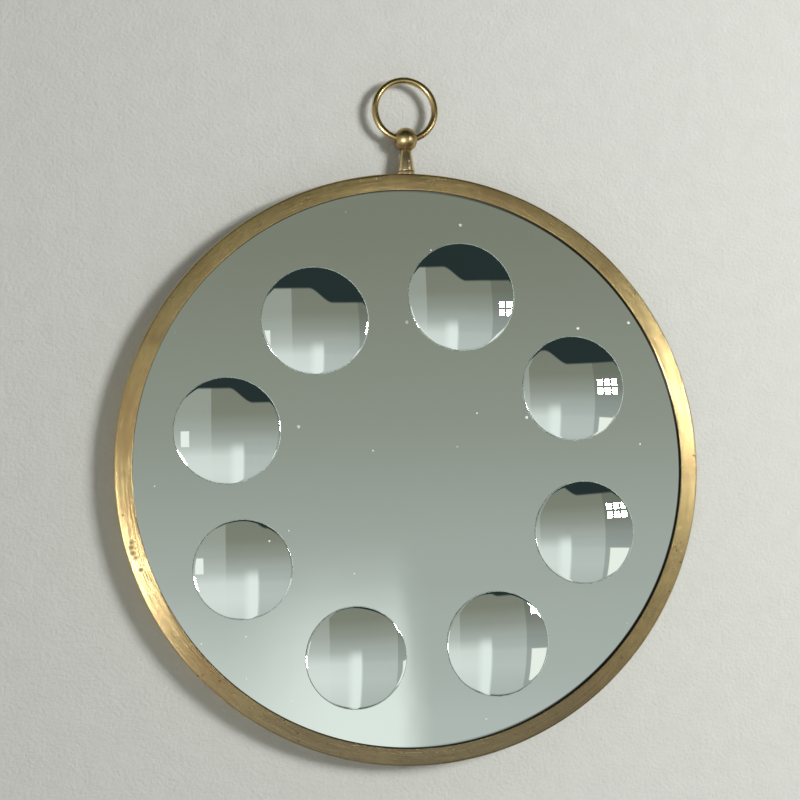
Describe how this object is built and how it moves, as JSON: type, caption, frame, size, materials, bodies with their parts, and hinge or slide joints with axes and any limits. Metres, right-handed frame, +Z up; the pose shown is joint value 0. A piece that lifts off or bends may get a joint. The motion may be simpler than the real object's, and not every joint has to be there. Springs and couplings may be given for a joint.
{
  "type": "girandole mirror",
  "caption": "Round wall mirror with convex bull's-eye mirrors set on a flat plate, in a flat brass hoop hung by a ring through a ball on a turned stem.",
  "frame": {"origin": "centre of the round mirror on its back plane, where it lies on the wall", "axes": "+Z up, through the stem, ball and hanging ring; +Y out of the back into the wall, so the glass faces -Y; +X to the viewer's right"},
  "size_m": [0.5999, 0.0296, 0.705],
  "materials": {
    "frame_brass": "aged satin, brushed round the hoop",
    "hanger_brass": "turned and polished, dulled with age",
    "ring_brass": "polished wire, dulled with age",
    "strap_brass": "mill finish, with solder",
    "mirror_glass": "silvered float glass with a faint green tint",
    "convex_glass": "silvered convex glass with a ground edge",
    "cork": "raw granular cork",
    "felt": "thin pressed felt",
    "liner_wood": "planed pine, unfinished",
    "board": "hardboard, smooth side out",
    "steel_hardware": "zinc-plated steel",
    "brass_screws": "bright brass, slotted"
  },
  "bodies": {
    "mirror": {"frame_ring": "frame_brass", "joint_plate": "strap_brass", "mirror_plate": "mirror_glass", "edge_packers": "cork", "backing_felt": "felt", "liner_ring": "liner_wood", "backboard": "board", "edge_screws": "brass_screws", "back_screws": "brass_screws", "hanger_stem": "hanger_brass", "hanger_ball": "hanger_brass", "hanger_stud": "steel_hardware", "stud_washer": "steel_hardware", "stud_nut": "steel_hardware", "bulls_eye_1": "convex_glass", "bulls_eye_2": "convex_glass", "bulls_eye_3": "convex_glass", "bulls_eye_4": "convex_glass", "bulls_eye_5": "convex_glass", "bulls_eye_6": "convex_glass", "bulls_eye_7": "convex_glass", "bulls_eye_8": "convex_glass"},
    "ring": {"hanging_ring": "ring_brass"}
  },
  "joints": [
    {"name": "ring_swing", "type": "hinge", "parent": "mirror", "child": "ring", "pos_m": [0, -0.0125, 0.3385], "axis": [1, 0, 0], "range_deg": [-156, 158]}
  ]
}
